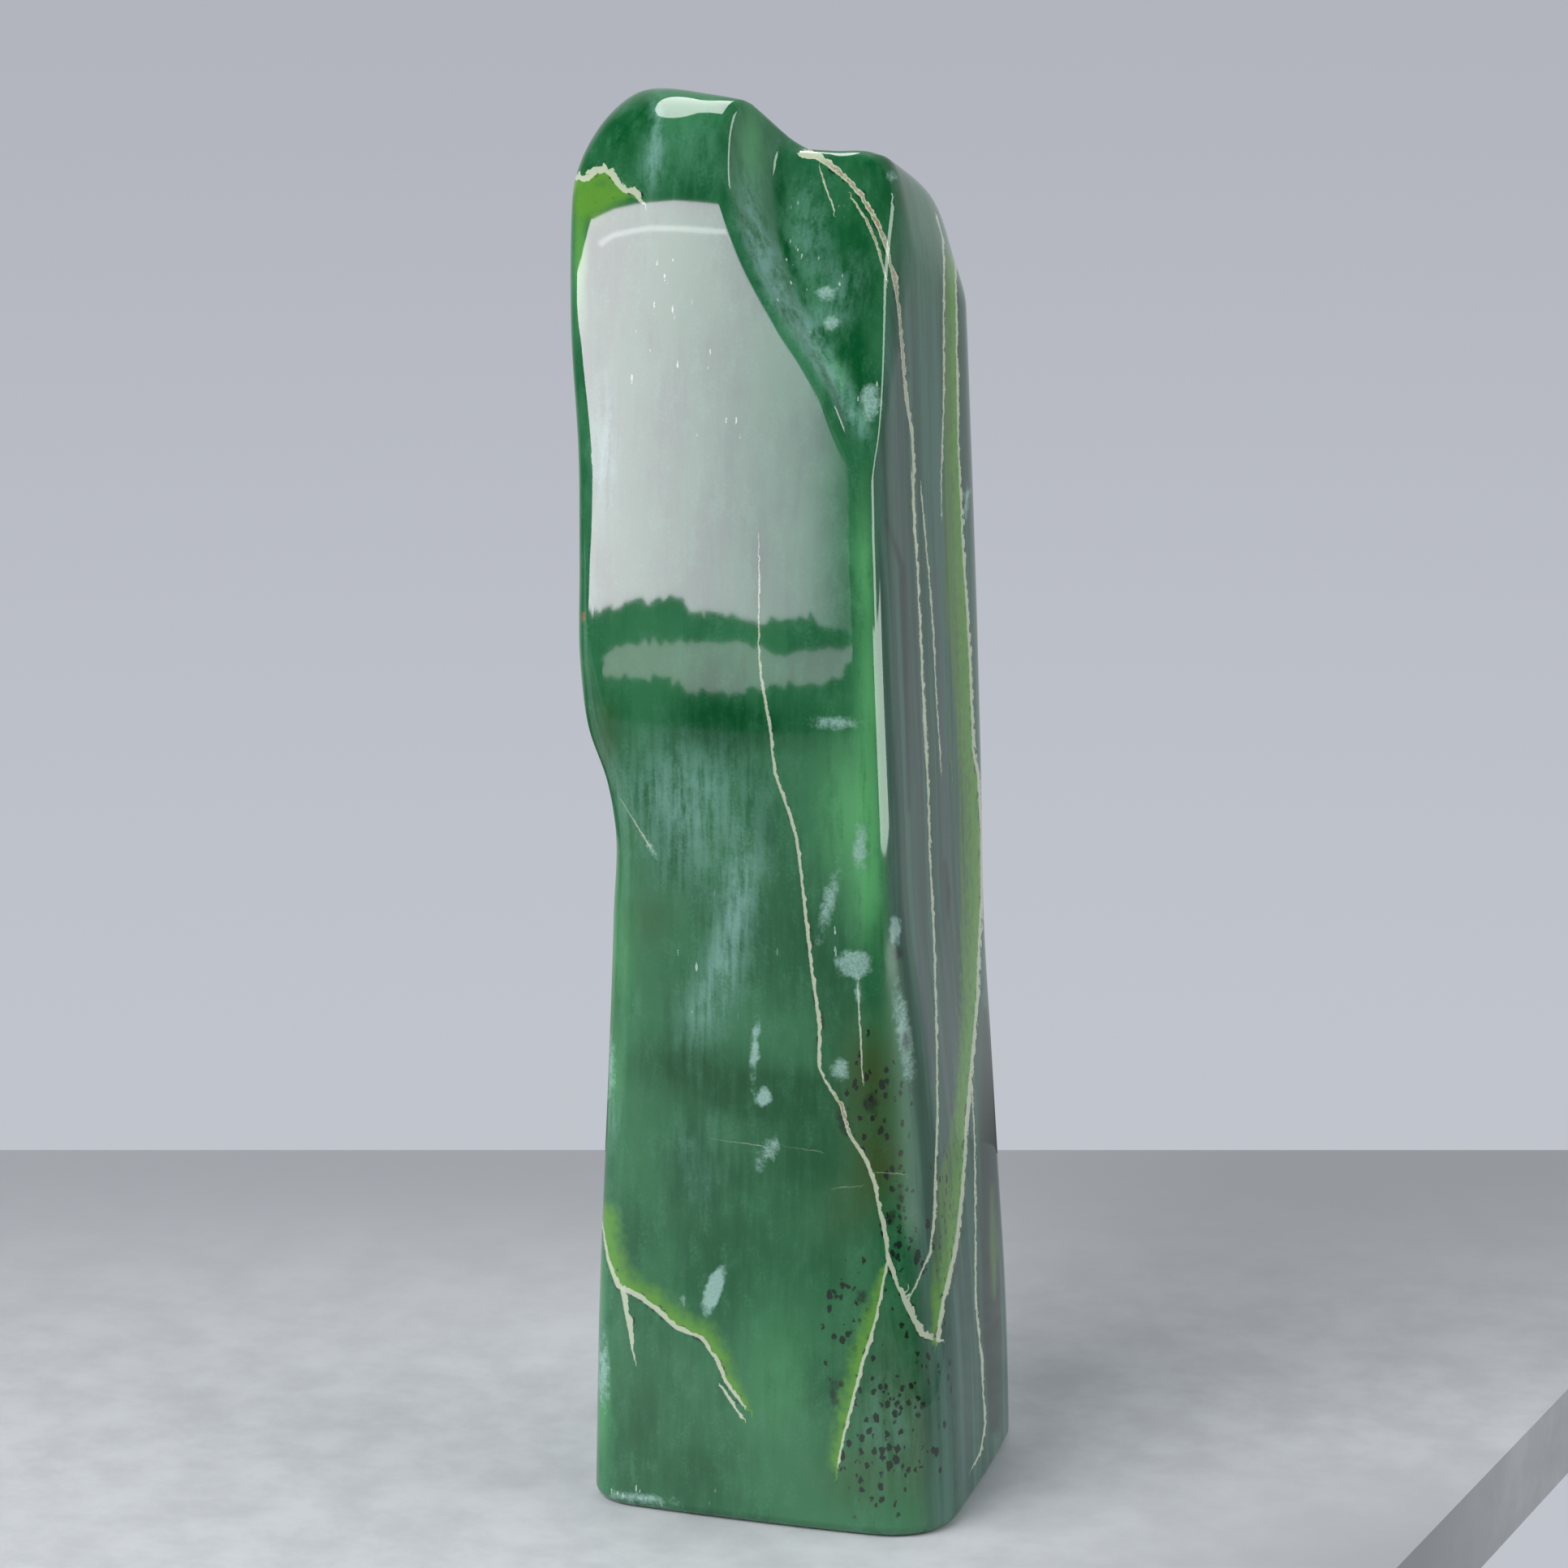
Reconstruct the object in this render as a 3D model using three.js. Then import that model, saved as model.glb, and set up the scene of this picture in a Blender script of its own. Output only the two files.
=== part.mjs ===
// A tall polished jade freeform: one stone, ground to soft faces, with a stepped notch ground out of its top right.
// Millimetres. x runs to the right along the front face, y away from it, z up from the flat sawn base.
import * as THREE from "three";

// Each face of the stone is a curve by height: pairs of height and position.
const FRONT = [[0, -35.5], [40, -34.7], [80, -33], [115, -31.8], [145, -31.3], [175, -30.7], [200, -29.4],
  [230, -27], [255, -23.4], [282, -17.2]];
const LEFT = [[0, -34.0], [45, -33.1], [95, -31.3], [120, -30.3], [138, -29.6], [147, -31.1], [157, -34.6],
  [168, -36.0], [190, -36.2], [210, -36.6], [235, -38.9], [255, -39.8], [282, -39.8]];
const RIGHT_AT_FRONT = [[0, 40.4], [34, 39.0], [66, 36.0], [101, 32.2], [122, 29.1], [146, 27.7], [177, 26.0],
  [208, 24.3], [240, 23.1], [282, 21.2]];
const RIGHT_AT_BACK = [[0, 39.4], [47, 37.6], [81, 35.4], [107, 33.4], [139, 32.4], [198, 30.6], [234, 29.6],
  [282, 28.2]];
const BACK = [[0, 35.4], [60, 33.9], [130, 31.9], [200, 29.9], [282, 25.9]];
// The low facet that cuts the right side off towards the back.
const FACET = [[0, 41.1], [30, 40.2], [60, 38.2], [90, 36.4], [107, 35.5], [140, 35.2], [282, 34.2]];
const FACET_TURN = 0.12;
const FACET_FROM_Y = 3.9;
// The notch: the ridge where the front face ends, and the floor behind it.
const RIDGE = [[0, 71.2], [150, 39.2], [178, 28.7], [192, 24.8], [204, 22.4], [211, 20.3], [218, 16.9], [225, 13.7],
  [237, 5.2], [250, -2.9], [261, -7.2], [274, -8.0], [282, -7.0]];
const FLOOR = [[200, -32.1], [212, -27.7], [224, -24.3], [238, -19.9], [248, -16.9], [258, -13.1], [270, -8.7],
  [282, -4.1]];
// The two tops, as height by x: the crown over the front face and the lower shoulder behind it.
const CROWN = [[-43.8, 264.6], [-38.8, 271], [-34.8, 275], [-29.8, 278.2], [-23.8, 280.5], [-16.8, 282.5],
  [-9, 284.4], [-2.8, 285]];
const SHOULDER = [[-43.8, 265.5], [-8.8, 267.7], [9.2, 267.4], [17.2, 267.2], [21.8, 264.9], [25.2, 256.6],
  [29.6, 247.6], [35.2, 237]];
const SHOULDER_FALL = 0.35;

// The notch wall, upright, and the slope that falls away behind the crown.
const WALL_NORMAL = [0.82, -0.57];
const SLOPE_NORMAL = [0.32, 0.55, 0.77];
const SLOPE_POINT = [-6.1, -16.6, 280];

// How far the blend of two faces reaches, which is a little more than the radius it makes.
const SOFT_FRONT_RIGHT = [[0, 15], [60, 14], [105, 10], [128, 6.5], [150, 6], [282, 6]];
const SOFT_CROWN = [[-43.8, 10], [-30, 12], [-16, 12], [-5, 7]];
const SOFT_LOW_TOP = [[-8, 5], [9.2, 4], [21.2, 8], [33.2, 7]];
const SOFT_LEFT = [[0, 10], [130, 9], [165, 6], [282, 6]];
const SOFT_BACK = 14;
const SOFT_FACET = 2;
const SOFT_CREST = 6;
const SOFT_RIDGE = 1.6;
const SOFT_SHOULDER = 4;
// The fillet between the notch wall and its floor, which runs out this deep below the outer faces.
const SOFT_STEP = 2;
const STEP_DEPTH = 3;

const HALF_FRONT = 36;
const FRONT_BOW = 1.5;
const SIDE_DEPTH = 56;
const SIDE_FROM_Y = -29.1;
const BASE_RADIUS = 2.5;

// The mesh: rings of rays from an axis, level up to the fan's centre and fanned out over the top from there.
const FAN_CENTRE = [-7, -5, 225];
const AXIS_BENDS_AT = 150;
const AROUND = 64;
const BODY_RINGS = 48;
const FAN_RINGS = 24;
const CORNER_CROWDING = 0.1;
const EDGE_TURN = -Math.PI / 4;

// Smooth curve through pairs, flat beyond its ends.
function along(pairs, at) {
  const last = pairs.length - 1;
  const t = Math.min(Math.max(at, pairs[0][0]), pairs[last][0]);
  let i = 0;
  while (i < last - 1 && t > pairs[i + 1][0]) i += 1;
  const step = (k) => pairs[k + 1][0] - pairs[k][0];
  const rise = (k) => (pairs[k + 1][1] - pairs[k][1]) / step(k);
  const slope = (k) => {
    if (k === 0) return rise(0);
    if (k === last) return rise(last - 1);
    return (rise(k - 1) * step(k) + rise(k) * step(k - 1)) / (step(k) + step(k - 1));
  };
  const h = step(i);
  const u = (t - pairs[i][0]) / h;
  const start = (1 + 2 * u) * (1 - u) ** 2 * pairs[i][1] + u * (1 - u) ** 2 * h * slope(i);
  const end = u * u * (3 - 2 * u) * pairs[i + 1][1] + u * u * (u - 1) * h * slope(i + 1);
  return start + end;
}

// The larger of two distances with a round where they meet: the stone inside both.
function both(a, b, soft) {
  return Math.max(a, b) + Math.max(soft - Math.abs(a - b), 0) ** 2 / (4 * soft);
}

// The smaller of two distances with a fillet: the stone inside either.
function either(a, b, soft) {
  return -both(-a, -b, soft);
}

// The four upright faces and the low facet.
function column(x, y, z) {
  const front = along(FRONT, z) + FRONT_BOW * (x / HALF_FRONT) ** 2 - y;
  const left = along(LEFT, z) - x;
  const near = along(RIGHT_AT_FRONT, z);
  const lean = (along(RIGHT_AT_BACK, z) - near) / SIDE_DEPTH;
  const right = x - near - lean * (y - SIDE_FROM_Y);
  const facet = x - along(FACET, z) + FACET_TURN * (y - FACET_FROM_Y);
  const back = y - along(BACK, z);
  const sides = both(right, facet, SOFT_FACET);
  const turned = both(front, sides, along(SOFT_FRONT_RIGHT, z));
  return both(both(turned, left, along(SOFT_LEFT, z)), back, SOFT_BACK);
}

// The tall mass over the front face: a soft crown, a slope behind it and the notch wall in a crisp ridge.
function tallMass(sides, x, y, z) {
  const crown = 0.85 * (z - along(CROWN, x));
  const slope =
    SLOPE_NORMAL[0] * (x - SLOPE_POINT[0]) +
    SLOPE_NORMAL[1] * (y - SLOPE_POINT[1]) +
    SLOPE_NORMAL[2] * (z - SLOPE_POINT[2]);
  const wall = WALL_NORMAL[0] * (x - along(RIDGE, z)) + WALL_NORMAL[1] * (y - along(FRONT, z));
  return both(both(sides, both(crown, slope, SOFT_CREST), along(SOFT_CROWN, x)), wall, SOFT_RIDGE);
}

// The lower mass behind the notch: its floor and the shoulder over it.
function lowMass(sides, x, y, z) {
  const floor = 0.95 * (along(FLOOR, z) - y);
  const shoulder = 0.85 * (z - along(SHOULDER, x) + SHOULDER_FALL * (y + 5.1));
  const soft = along(SOFT_LOW_TOP, x) * Math.min(Math.max((z - 205) / 40, 0.2), 1);
  return both(sides, both(floor, shoulder, SOFT_SHOULDER), soft);
}

// Below zero inside the stone.
function stone(x, y, z) {
  const sides = column(x, y, z);
  const depth = Math.min(Math.max(-sides / STEP_DEPTH, 0.02), 1);
  return either(tallMass(sides, x, y, z), lowMass(sides, x, y, z), SOFT_STEP * depth);
}

// Distance from a point inside the stone to its surface.
function reach(from, way) {
  let near = 0;
  let far = 130;
  for (let i = 0; i < 44; i += 1) {
    const r = (near + far) / 2;
    const inside = stone(from[0] + r * way[0], from[1] + r * way[1], from[2] + r * way[2]) < 0;
    if (inside) near = r;
    else far = r;
  }
  return (near + far) / 2;
}

// The axis is upright low down and leans over to the fan's centre above.
function axisAt(height) {
  const share = Math.max(0, (height - AXIS_BENDS_AT) / (FAN_CENTRE[2] - AXIS_BENDS_AT));
  return [share * FAN_CENTRE[0], share * FAN_CENTRE[1], height];
}

// The direction in which this ring meets the front face's right edge, so that one column of points follows it.
function edgeAngle(from, tilt) {
  let low = from[2];
  let high = FRONT[FRONT.length - 1][0];
  const offset = (z) => [
    Math.min(along(RIGHT_AT_FRONT, z), along(RIDGE, z)) - from[0],
    along(FRONT, z) + FRONT_BOW / 2 - from[1],
  ];
  for (let i = 0; i < 24; i += 1) {
    const z = (low + high) / 2;
    if (Math.atan2(z - from[2], Math.hypot(...offset(z))) < tilt) low = z;
    else high = z;
  }
  const [x, y] = offset(low);
  return Math.atan2(y, x);
}

// One ring of points, tilt up from level in radians, drawn in towards the axis by inset.
function ring(height, tilt, inset) {
  const from = axisAt(height);
  const shift = edgeAngle(from, tilt) - EDGE_TURN;
  const points = [];
  for (let i = 0; i < AROUND; i += 1) {
    const turn = (2 * Math.PI * i) / AROUND;
    const pull = (1 + Math.cos(turn - EDGE_TURN)) / 2;
    const angle = turn + CORNER_CROWDING * Math.sin(4 * turn) + shift * pull;
    const way = [Math.cos(tilt) * Math.cos(angle), Math.cos(tilt) * Math.sin(angle), Math.sin(tilt)];
    const r = reach(from, way) - inset;
    points.push(from.map((value, k) => value + r * way[k]));
  }
  return points;
}

function rings() {
  const all = [];
  for (const share of [0.35, 0.7]) {
    all.push(ring(0, 0, BASE_RADIUS).map(([x, y]) => [share * x, share * y, 0]));
  }
  for (const rise of [0, 0.3, 0.65]) {
    const inset = BASE_RADIUS * (1 - Math.sqrt(1 - (1 - rise) ** 2));
    all.push(ring(BASE_RADIUS * rise, 0, inset));
  }
  for (let i = 0; i < BODY_RINGS; i += 1) {
    all.push(ring(BASE_RADIUS + ((FAN_CENTRE[2] - BASE_RADIUS) * i) / BODY_RINGS, 0, 0));
  }
  for (let i = 0; i < FAN_RINGS; i += 1) {
    all.push(ring(FAN_CENTRE[2], (Math.PI / 2) * (i / FAN_RINGS), 0));
  }
  return all;
}

// How far the middle of the line between two points lies off the surface.
function offSurface(a, b) {
  return Math.abs(stone((a[0] + b[0]) / 2, (a[1] + b[1]) / 2, (a[2] + b[2]) / 2));
}

// A quad as two triangles, cut along the diagonal that follows the surface better.
function halves(points, a, b, c, d) {
  if (offSurface(points[a], points[c]) <= offSurface(points[b], points[d])) return [a, b, c, a, c, d];
  return [a, b, d, b, c, d];
}

function stoneGeometry() {
  const all = rings();
  const [topX, topY, fanZ] = FAN_CENTRE;
  const points = [[0, 0, 0], ...all.flat(), [topX, topY, fanZ + reach(FAN_CENTRE, [0, 0, 1])]];
  const faces = [];
  const at = (row, i) => 1 + row * AROUND + (i % AROUND);
  for (let i = 0; i < AROUND; i += 1) {
    faces.push(0, at(0, i + 1), at(0, i));
    faces.push(points.length - 1, at(all.length - 1, i), at(all.length - 1, i + 1));
    for (let row = 0; row < all.length - 1; row += 1) {
      faces.push(...halves(points, at(row, i), at(row, i + 1), at(row + 1, i + 1), at(row + 1, i)));
    }
  }
  const geometry = new THREE.BufferGeometry();
  geometry.setAttribute("position", new THREE.Float32BufferAttribute(points.flat(), 3));
  geometry.setIndex(faces);
  geometry.computeVertexNormals();
  return geometry;
}

// Stands the stone with the middle of its box on the origin.
function centred(geometry) {
  geometry.computeBoundingBox();
  const { min, max } = geometry.boundingBox;
  return geometry.translate(-(min.x + max.x) / 2, -(min.y + max.y) / 2, 0);
}

const jade = new THREE.MeshStandardMaterial({ color: 0x2f6b4a, roughness: 0.1, metalness: 0 });
const stoneMesh = new THREE.Mesh(centred(stoneGeometry()), jade);
stoneMesh.name = "jade_stone";

const part = new THREE.Group();
part.name = "jade_freeform";
part.add(stoneMesh);

export default part;
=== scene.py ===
import math

import bpy
import numpy as np
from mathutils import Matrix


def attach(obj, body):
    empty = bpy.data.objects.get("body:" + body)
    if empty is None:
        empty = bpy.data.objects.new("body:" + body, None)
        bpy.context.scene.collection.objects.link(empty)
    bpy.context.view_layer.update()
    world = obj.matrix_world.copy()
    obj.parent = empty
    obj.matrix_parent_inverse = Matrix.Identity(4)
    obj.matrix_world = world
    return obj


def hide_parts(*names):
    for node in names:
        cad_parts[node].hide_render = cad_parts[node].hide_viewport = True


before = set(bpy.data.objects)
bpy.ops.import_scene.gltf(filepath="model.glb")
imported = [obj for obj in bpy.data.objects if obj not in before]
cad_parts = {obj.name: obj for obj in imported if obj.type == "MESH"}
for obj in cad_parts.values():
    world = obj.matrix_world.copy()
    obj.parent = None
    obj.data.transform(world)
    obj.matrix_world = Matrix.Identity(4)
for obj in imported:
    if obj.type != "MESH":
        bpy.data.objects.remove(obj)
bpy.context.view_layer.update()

# A tall polished jade stone on a pale table. Lengths are millimetres until a point is placed, which makes
# them metres.
MM = 0.001
NODE = "jade_stone"

# Faces of the stone, as pairs of height and position.
FRONT = [(0, -35.5), (40, -34.7), (80, -33), (115, -31.8), (145, -31.3), (175, -30.7), (200, -29.4),
         (230, -27), (255, -23.4), (282, -17.2)]
LEFT = [(0, -34), (45, -33.1), (95, -31.3), (120, -30.3), (138, -29.6), (147, -31.1), (157, -34.6),
        (168, -36), (190, -36.2), (210, -36.6), (235, -38.9), (255, -39.8), (282, -39.8)]
RIGHT_AT_FRONT = [(0, 40.4), (34, 39), (66, 36), (101, 32.2), (122, 29.1), (146, 27.7), (177, 26),
                  (208, 24.3), (240, 23.1), (282, 21.2)]
RIGHT_AT_BACK = [(0, 39.4), (47, 37.6), (81, 35.4), (107, 33.4), (139, 32.4), (198, 30.6), (234, 29.6),
                 (282, 28.2)]
BACK = [(0, 35.4), (60, 33.9), (130, 31.9), (200, 29.9), (282, 25.9)]
FACET = [(0, 41.1), (30, 40.2), (60, 38.2), (90, 36.4), (107, 35.5), (140, 35.2), (282, 34.2)]
FACET_TURN = 0.12
FACET_FROM_Y = 3.9
RIDGE = [(0, 71.2), (150, 39.2), (178, 28.7), (192, 24.8), (204, 22.4), (211, 20.3), (218, 16.9),
         (225, 13.7), (237, 5.2), (250, -2.9), (261, -7.2), (274, -8), (282, -7)]
FLOOR = [(200, -32.1), (212, -27.7), (224, -24.3), (238, -19.9), (248, -16.9), (258, -13.1), (270, -8.7),
         (282, -4.1)]
# The two tops, as pairs of x and height.
CROWN = [(-43.8, 264.6), (-38.8, 271), (-34.8, 275), (-29.8, 278.2), (-23.8, 280.5), (-16.8, 282.5),
         (-9, 284.4), (-2.8, 285)]
SHOULDER = [(-43.8, 265.5), (-8.8, 267.7), (9.2, 267.4), (17.2, 267.2), (21.8, 264.9), (25.2, 256.6),
            (29.6, 247.6), (35.2, 237)]
SHOULDER_FALL = 0.35
SHOULDER_FROM_Y = -5.1
# What a level or upright distance to a leaning face is multiplied by to reach it square on.
TOP_LEAN = 0.85
FLOOR_LEAN = 0.95
WALL_NORMAL = (0.82, -0.57)
SLOPE_NORMAL = (0.32, 0.55, 0.77)
SLOPE_POINT = (-6.1, -16.6, 280)
# How far the blend of two faces reaches.
SOFT_FRONT_RIGHT = [(0, 15), (60, 14), (105, 10), (128, 6.5), (150, 6), (282, 6)]
SOFT_CROWN = [(-43.8, 10), (-30, 12), (-16, 12), (-5, 7)]
SOFT_LOW_TOP = [(-8, 5), (9.2, 4), (21.2, 8), (33.2, 7)]
SOFT_LEFT = [(0, 10), (130, 9), (165, 6), (282, 6)]
# The low top's softness grows from a share of its full reach to all of it over these heights.
SOFT_LOW_FROM_Z = 205
SOFT_LOW_RUN = 40
SOFT_LOW_SHARE = 0.2
SOFT_BACK = 14
SOFT_FACET = 2
SOFT_CREST = 6
SOFT_RIDGE = 1.6
SOFT_SHOULDER = 4
# The fillet between the notch wall and its floor, which runs out this deep below the outer faces.
SOFT_STEP = 2
STEP_DEPTH = 3
LEAST_FILLET = 0.02
HALF_FRONT = 36
FRONT_BOW = 1.5
SIDE_DEPTH = 56
SIDE_FROM_Y = -29.1
BASE_RADIUS = 2.5

# The mesh: rings of rays from an axis, level up to the fan's centre and fanned out over the top from there.
FAN_CENTRE = (-7, -5, 225)
AXIS_BENDS_AT = 150
AROUND = 272
BASE_ROWS = 6
EDGE_ROWS = 8
BODY_ROWS = 247
FAN_ROWS = 90
CORNER_CROWDING = 0.1
EDGE_TURN = -math.pi / 4
# Rays find the surface by halving a distance this often, and the corner's height likewise.
LONGEST_RAY = 130.0
RAY_HALVINGS = 26
CORNER_HALVINGS = 24
NORMAL_STEP = 0.05
DOWN = (0, 0, -1)

# The camera, turned from the front face to the right and looking down. The photograph is this many pixels
# a side.
PHOTO_SIDE = 1932
CAMERA_AZIMUTH = math.radians(17.5)
CAMERA_ELEVATION = math.radians(14)
CAMERA_DISTANCE = 950
CAMERA_TARGET = (-3.1, 0.9, 141.7)
FOCAL_PIXELS = 5925
SENSOR_WIDTH = 36
NEAR_CLIP = 0.05
PIXELS_PER_MM = FOCAL_PIXELS / CAMERA_DISTANCE

# The table: its far edge lies square to the camera, its near edge square to what the front face mirrors.
TABLE_BEHIND = 200
TABLE_AHEAD = 810
TABLE_LEFT = 1500
TABLE_RIGHT = 245
TABLE_THICKNESS = 20
# What the front face mirrors lies in this direction.
MIRROR_AZIMUTH = math.radians(-17.5)


def srgb(red, green, blue):
    """Linear colour from a screen's 0 to 255 numbers."""
    parts = [c / 255 for c in (red, green, blue)]
    return tuple(c / 12.92 if c <= 0.04045 else ((c + 0.055) / 1.055) ** 2.4 for c in parts) + (1.0,)


def along(pairs, at):
    """Smooth curve through pairs, flat beyond its ends."""
    x, y = np.array(pairs, float).T
    h = np.diff(x)
    rise = np.diff(y) / h
    slope = np.empty(len(x))
    slope[1:-1] = (rise[:-1] * h[1:] + rise[1:] * h[:-1]) / (h[1:] + h[:-1])
    slope[0], slope[-1] = rise[0], rise[-1]
    t = np.clip(at, x[0], x[-1])
    i = np.clip(np.searchsorted(x, t, side="right") - 1, 0, len(h) - 1)
    u = (t - x[i]) / h[i]
    start = (1 + 2 * u) * (1 - u) ** 2 * y[i] + u * (1 - u) ** 2 * h[i] * slope[i]
    return start + u * u * (3 - 2 * u) * y[i + 1] + u * u * (u - 1) * h[i] * slope[i + 1]


def both(a, b, soft):
    """The larger of two distances with a round where they meet: the stone inside both."""
    return np.maximum(a, b) + np.maximum(soft - np.abs(a - b), 0) ** 2 / (4 * soft)


def column(x, y, z):
    """The four upright faces and the low facet."""
    front = along(FRONT, z) + FRONT_BOW * (x / HALF_FRONT) ** 2 - y
    left = along(LEFT, z) - x
    near = along(RIGHT_AT_FRONT, z)
    lean = (along(RIGHT_AT_BACK, z) - near) / SIDE_DEPTH
    right = x - near - lean * (y - SIDE_FROM_Y)
    facet = x - along(FACET, z) + FACET_TURN * (y - FACET_FROM_Y)
    back = y - along(BACK, z)
    turned = both(front, both(right, facet, SOFT_FACET), along(SOFT_FRONT_RIGHT, z))
    return both(both(turned, left, along(SOFT_LEFT, z)), back, SOFT_BACK)


def tall_mass(sides, x, y, z):
    """The tall mass over the front face: a soft crown, a slope behind it and a notch wall with a ridge."""
    crown = TOP_LEAN * (z - along(CROWN, x))
    slope = sum(n * (c - p) for n, c, p in zip(SLOPE_NORMAL, (x, y, z), SLOPE_POINT))
    wall = WALL_NORMAL[0] * (x - along(RIDGE, z)) + WALL_NORMAL[1] * (y - along(FRONT, z))
    return both(both(sides, both(crown, slope, SOFT_CREST), along(SOFT_CROWN, x)), wall, SOFT_RIDGE)


def low_mass(sides, x, y, z):
    """The lower mass behind the notch: its floor and the shoulder over it."""
    floor = FLOOR_LEAN * (along(FLOOR, z) - y)
    shoulder = TOP_LEAN * (z - along(SHOULDER, x) + SHOULDER_FALL * (y - SHOULDER_FROM_Y))
    soft = along(SOFT_LOW_TOP, x) * np.clip((z - SOFT_LOW_FROM_Z) / SOFT_LOW_RUN, SOFT_LOW_SHARE, 1)
    return both(sides, both(floor, shoulder, SOFT_SHOULDER), soft)


def stone(x, y, z):
    """Below zero inside the stone."""
    sides = column(x, y, z)
    fillet = SOFT_STEP * np.clip(-sides / STEP_DEPTH, LEAST_FILLET, 1)
    return -both(-tall_mass(sides, x, y, z), -low_mass(sides, x, y, z), fillet)


def reach(start, way):
    """Distance from points inside the stone to its surface."""
    near = np.zeros(way.shape[:-1])
    far = np.full(way.shape[:-1], LONGEST_RAY)
    for _ in range(RAY_HALVINGS):
        middle = (near + far) / 2
        inside = stone(*np.moveaxis(start + middle[..., None] * way, -1, 0)) < 0
        near, far = np.where(inside, middle, near), np.where(inside, far, middle)
    return (near + far) / 2


def outward(points):
    """Unit normals of the stone's surface."""
    parts = []
    for step in NORMAL_STEP * np.eye(3):
        ahead = stone(*np.moveaxis(points + step, -1, 0))
        parts.append(ahead - stone(*np.moveaxis(points - step, -1, 0)))
    normals = np.stack(parts, -1)
    return normals / np.linalg.norm(normals, axis=-1, keepdims=True)


def edge_angles(start, tilt):
    """Directions in which rings meet the front face's right edge, for one column of points to follow."""
    low = start[:, 2].copy()
    high = np.full(len(start), float(FRONT[-1][0]))

    def offset(z):
        right = np.minimum(along(RIGHT_AT_FRONT, z), along(RIDGE, z)) - start[:, 0]
        return right, along(FRONT, z) + FRONT_BOW / 2 - start[:, 1]

    for _ in range(CORNER_HALVINGS):
        z = (low + high) / 2
        below = np.arctan2(z - start[:, 2], np.hypot(*offset(z))) < tilt
        low, high = np.where(below, z, low), np.where(below, high, z)
    right, ahead = offset(low)
    return np.arctan2(ahead, right)


def ring_points(height, tilt, inset):
    """Rings of surface points, one for each height of their centre, tilt up from level and inset."""
    height, tilt, inset = (np.array(values, float) for values in (height, tilt, inset))
    share = np.maximum(0, (height - AXIS_BENDS_AT) / (FAN_CENTRE[2] - AXIS_BENDS_AT))
    start = np.stack([share * FAN_CENTRE[0], share * FAN_CENTRE[1], height], -1)
    shift = edge_angles(start, tilt) - EDGE_TURN
    turn = 2 * math.pi * np.arange(AROUND) / AROUND
    pull = (1 + np.cos(turn - EDGE_TURN)) / 2
    angle = turn + CORNER_CROWDING * np.sin(4 * turn) + shift[:, None] * pull
    level = np.cos(tilt)[:, None]
    way = np.stack([level * np.cos(angle), level * np.sin(angle), np.sin(tilt)[:, None] + 0 * angle], -1)
    start = start[:, None, :]
    distance = reach(start, way) - inset[:, None]
    return start + distance[..., None] * way


def stone_rows():
    """Rings of surface points from the base to the top, and how far the base's round is turned at its own."""
    foot = ring_points([0], [0], [BASE_RADIUS])
    shares = (np.arange(BASE_ROWS) + 1) / (BASE_ROWS + 1)
    base = foot * shares[:, None, None] * (1, 1, 0)
    bend = np.linspace(math.pi / 2, 0, EDGE_ROWS, endpoint=False)
    edge = ring_points(BASE_RADIUS * (1 - np.sin(bend)), 0 * bend, BASE_RADIUS * (1 - np.cos(bend)))
    heights = np.linspace(BASE_RADIUS, FAN_CENTRE[2], BODY_ROWS, endpoint=False)
    body = ring_points(heights, 0 * heights, 0 * heights)
    tilts = np.linspace(0, math.pi / 2, FAN_ROWS, endpoint=False)
    fan = ring_points(0 * tilts + FAN_CENTRE[2], tilts, 0 * tilts)
    return np.concatenate([base, edge, body, fan]), bend


def row_normals(rows, bend):
    """Normals of the rings: straight down under the base, and turning to the sides' own over its round."""
    normals = outward(rows)
    normals[:BASE_ROWS] = DOWN
    round_rows = slice(BASE_ROWS, BASE_ROWS + EDGE_ROWS)
    weight = np.sin(bend)[:, None, None]
    normals[round_rows] = normals[round_rows] * np.sqrt(1 - weight ** 2) + np.array(DOWN) * weight
    return normals


def stone_points():
    """Points and normals of the whole stone: base centre, rings from the base to the top, top."""
    rows, bend = stone_rows()
    centre = np.array(FAN_CENTRE, float)
    up = np.array((0.0, 0.0, 1.0))
    top = centre + reach(centre, up) * up
    points = np.concatenate([[(0, 0, 0)], rows.reshape(-1, 3), [top]])
    normals = np.concatenate([[DOWN], row_normals(rows, bend).reshape(-1, 3), outward(top[None])])
    return points, normals


def stone_faces(count):
    """Faces between the rings, and the fans that close the base and the top."""
    rows = (count - 2) // AROUND
    i = np.arange(AROUND)
    after = (i + 1) % AROUND
    start = 1 + AROUND * np.arange(rows - 1)[:, None]
    above = start + AROUND
    quads = np.stack([start + i, start + after, above + after, above + i], -1).reshape(-1, 4)
    base = np.stack([0 * i, 1 + after, 1 + i], -1)
    last = 1 + AROUND * (rows - 1)
    cap = np.stack([0 * i + count - 1, last + i, last + after], -1)
    return quads.tolist() + base.tolist() + cap.tolist()


def camera_axes():
    """Directions to the camera, to its right and up."""
    a, e = CAMERA_AZIMUTH, CAMERA_ELEVATION
    back = np.array((math.sin(a) * math.cos(e), -math.cos(a) * math.cos(e), math.sin(e)))
    right = np.array((math.cos(a), math.sin(a), 0.0))
    return back, right, np.cross(back, right)


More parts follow.
